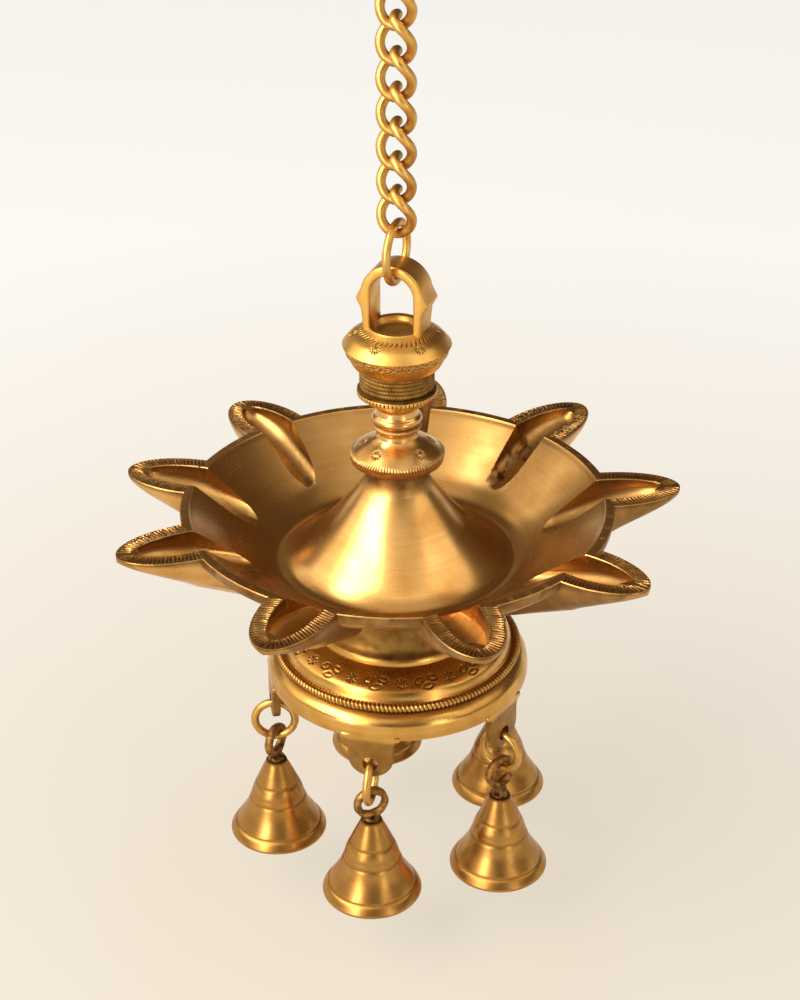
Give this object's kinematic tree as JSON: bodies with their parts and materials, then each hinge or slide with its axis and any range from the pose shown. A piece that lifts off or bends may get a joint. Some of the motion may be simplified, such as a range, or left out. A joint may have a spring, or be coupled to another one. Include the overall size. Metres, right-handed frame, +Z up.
{
  "type": "hanging oil lamp",
  "caption": "Hanging brass oil lamp: round bowl with pointed wick spouts around a central cone, on a bell-hung pedestal, with a twisted-link chain and top hook.",
  "frame": {"origin": "inside of the top hook's upper bend, where the lamp hangs from its ceiling ring", "axes": "+Z up along the hanging chain, -Y towards the viewer of the picture, +X to the viewer's right"},
  "size_m": [0.2474, 0.251, 0.4642],
  "materials": {
    "polished_brass": "turned and polished by hand, satin with lathe lines",
    "cast_brass": "cast, filed and punched",
    "wire_brass": "drawn wire, hand bent and filed",
    "dark_bronze": "as cast, unpolished and tarnished",
    "bell_brass": "turned satin brass with cut grooves",
    "steel": "plain bright steel"
  },
  "bodies": {
    "hook": {"top_hook": "wire_brass"},
    "link_1": {"chain_link_1": "wire_brass"},
    "link_2": {"chain_link_2": "wire_brass"},
    "link_3": {"chain_link_3": "wire_brass"},
    "link_4": {"chain_link_4": "wire_brass"},
    "link_5": {"chain_link_5": "wire_brass"},
    "link_6": {"chain_link_6": "wire_brass"},
    "link_7": {"chain_link_7": "wire_brass"},
    "link_8": {"chain_link_8": "wire_brass"},
    "ring": {"suspension_ring": "wire_brass"},
    "lamp": {"finial": "cast_brass", "collar": "polished_brass", "bowl": "polished_brass", "pedestal": "polished_brass", "tie_rod": "steel", "washer": "cast_brass", "nut": "steel"},
    "jump_ring_1": {"jump_ring_1": "wire_brass"},
    "bell_1": {"bell_eye_1": "dark_bronze", "bell_1": "bell_brass"},
    "clapper_1": {"clapper_1": "dark_bronze"},
    "jump_ring_2": {"jump_ring_2": "wire_brass"},
    "bell_2": {"bell_eye_2": "dark_bronze", "bell_2": "bell_brass"},
    "clapper_2": {"clapper_2": "dark_bronze"},
    "jump_ring_3": {"jump_ring_3": "wire_brass"},
    "bell_3": {"bell_eye_3": "dark_bronze", "bell_3": "bell_brass"},
    "clapper_3": {"clapper_3": "dark_bronze"},
    "jump_ring_4": {"jump_ring_4": "wire_brass"},
    "bell_4": {"bell_eye_4": "dark_bronze", "bell_4": "bell_brass"},
    "clapper_4": {"clapper_4": "dark_bronze"},
    "jump_ring_5": {"jump_ring_5": "wire_brass"},
    "bell_5": {"bell_eye_5": "dark_bronze", "bell_5": "bell_brass"},
    "clapper_5": {"clapper_5": "dark_bronze"}
  },
  "joints": [
    {"name": "link_1_swing", "type": "hinge", "parent": "hook", "child": "link_1", "pos_m": [0, 0, -0.04434], "axis": [0.9397, -0.342, 0], "range_deg": [-25, 25]},
    {"name": "link_2_swing", "type": "hinge", "parent": "link_1", "child": "link_2", "pos_m": [0, 0, -0.05453], "axis": [0.342, 0.9397, 0], "range_deg": [-25, 25]},
    {"name": "link_3_swing", "type": "hinge", "parent": "link_2", "child": "link_3", "pos_m": [0, 0, -0.07272], "axis": [-0.9397, 0.342, 0], "range_deg": [-25, 25]},
    {"name": "link_4_swing", "type": "hinge", "parent": "link_3", "child": "link_4", "pos_m": [0, 0, -0.08303], "axis": [-0.342, -0.9397, 0], "range_deg": [-25, 25]},
    {"name": "link_5_swing", "type": "hinge", "parent": "link_4", "child": "link_5", "pos_m": [0, 0, -0.10122], "axis": [0.9397, -0.342, 0], "range_deg": [-25, 25]},
    {"name": "link_6_swing", "type": "hinge", "parent": "link_5", "child": "link_6", "pos_m": [0, 0, -0.11153], "axis": [0.342, 0.9397, 0], "range_deg": [-25, 25]},
    {"name": "link_7_swing", "type": "hinge", "parent": "link_6", "child": "link_7", "pos_m": [0, 0, -0.12972], "axis": [-0.9397, 0.342, 0], "range_deg": [-25, 25]},
    {"name": "link_8_swing", "type": "hinge", "parent": "link_7", "child": "link_8", "pos_m": [0, 0, -0.14003], "axis": [-0.342, -0.9397, 0], "range_deg": [-25, 25]},
    {"name": "ring_swing", "type": "hinge", "parent": "link_8", "child": "ring", "pos_m": [0, 0, -0.15822], "axis": [0.9397, -0.342, 0], "range_deg": [-25, 25]},
    {"name": "lamp_swing", "type": "hinge", "parent": "ring", "child": "lamp", "pos_m": [0, 0, -0.1791], "axis": [0.342, 0.9397, 0], "range_deg": [-25, 25]},
    {"name": "jump_ring_1_swing", "type": "hinge", "parent": "lamp", "child": "jump_ring_1", "pos_m": [-0.01193, -0.05615, -0.38472], "axis": [-0.2079, -0.9781, 0], "range_deg": [-24, 24]},
    {"name": "bell_1_swing", "type": "hinge", "parent": "jump_ring_1", "child": "bell_1", "pos_m": [-0.01193, -0.05615, -0.39927], "axis": [0.9397, 0.342, 0], "range_deg": [-22, 22]},
    {"name": "clapper_1_swing", "type": "hinge", "parent": "bell_1", "child": "clapper_1", "pos_m": [-0.01193, -0.05615, -0.42237], "axis": [0.342, -0.9397, 0], "range_deg": [-20, 20]},
    {"name": "jump_ring_2_swing", "type": "hinge", "parent": "lamp", "child": "jump_ring_2", "pos_m": [0.04644, -0.03374, -0.38472], "axis": [0.809, -0.5878, 0], "range_deg": [-24, 24]},
    {"name": "bell_2_swing", "type": "hinge", "parent": "jump_ring_2", "child": "bell_2", "pos_m": [0.04644, -0.03374, -0.39927], "axis": [-0.809, -0.5878, 0], "range_deg": [-22, 22]},
    {"name": "clapper_2_swing", "type": "hinge", "parent": "bell_2", "child": "clapper_2", "pos_m": [0.04644, -0.03374, -0.42637], "axis": [0.5878, -0.809, 0], "range_deg": [-20, 20]},
    {"name": "jump_ring_3_swing", "type": "hinge", "parent": "lamp", "child": "jump_ring_3", "pos_m": [0.0492, 0.02956, -0.38472], "axis": [0.8572, 0.515, 0], "range_deg": [-24, 24]},
    {"name": "bell_3_swing", "type": "hinge", "parent": "jump_ring_3", "child": "bell_3", "pos_m": [0.0492, 0.02956, -0.39927], "axis": [-0.682, 0.7314, 0], "range_deg": [-22, 22]},
    {"name": "clapper_3_swing", "type": "hinge", "parent": "bell_3", "child": "clapper_3", "pos_m": [0.0492, 0.02956, -0.42817], "axis": [0.7314, 0.682, 0], "range_deg": [-20, 20]},
    {"name": "jump_ring_4_swing", "type": "hinge", "parent": "lamp", "child": "jump_ring_4", "pos_m": [-0.01046, 0.05644, -0.38472], "axis": [-0.1822, 0.9833, 0], "range_deg": [-24, 24]},
    {"name": "bell_4_swing", "type": "hinge", "parent": "jump_ring_4", "child": "bell_4", "pos_m": [-0.01046, 0.05644, -0.39927], "axis": [0.9863, -0.165, 0], "range_deg": [-22, 22]},
    {"name": "clapper_4_swing", "type": "hinge", "parent": "bell_4", "child": "clapper_4", "pos_m": [-0.01046, 0.05644, -0.42237], "axis": [0.165, 0.9863, 0], "range_deg": [-20, 20]},
    {"name": "jump_ring_5_swing", "type": "hinge", "parent": "lamp", "child": "jump_ring_5", "pos_m": [-0.05669, -0.00898, -0.38472], "axis": [-0.9877, -0.1564, 0], "range_deg": [-24, 24]},
    {"name": "bell_5_swing", "type": "hinge", "parent": "jump_ring_5", "child": "bell_5", "pos_m": [-0.05669, -0.00898, -0.39927], "axis": [0.454, 0.891, 0], "range_deg": [-22, 22]},
    {"name": "clapper_5_swing", "type": "hinge", "parent": "bell_5", "child": "clapper_5", "pos_m": [-0.05669, -0.00898, -0.42417], "axis": [-0.891, 0.454, 0], "range_deg": [-20, 20]}
  ]
}
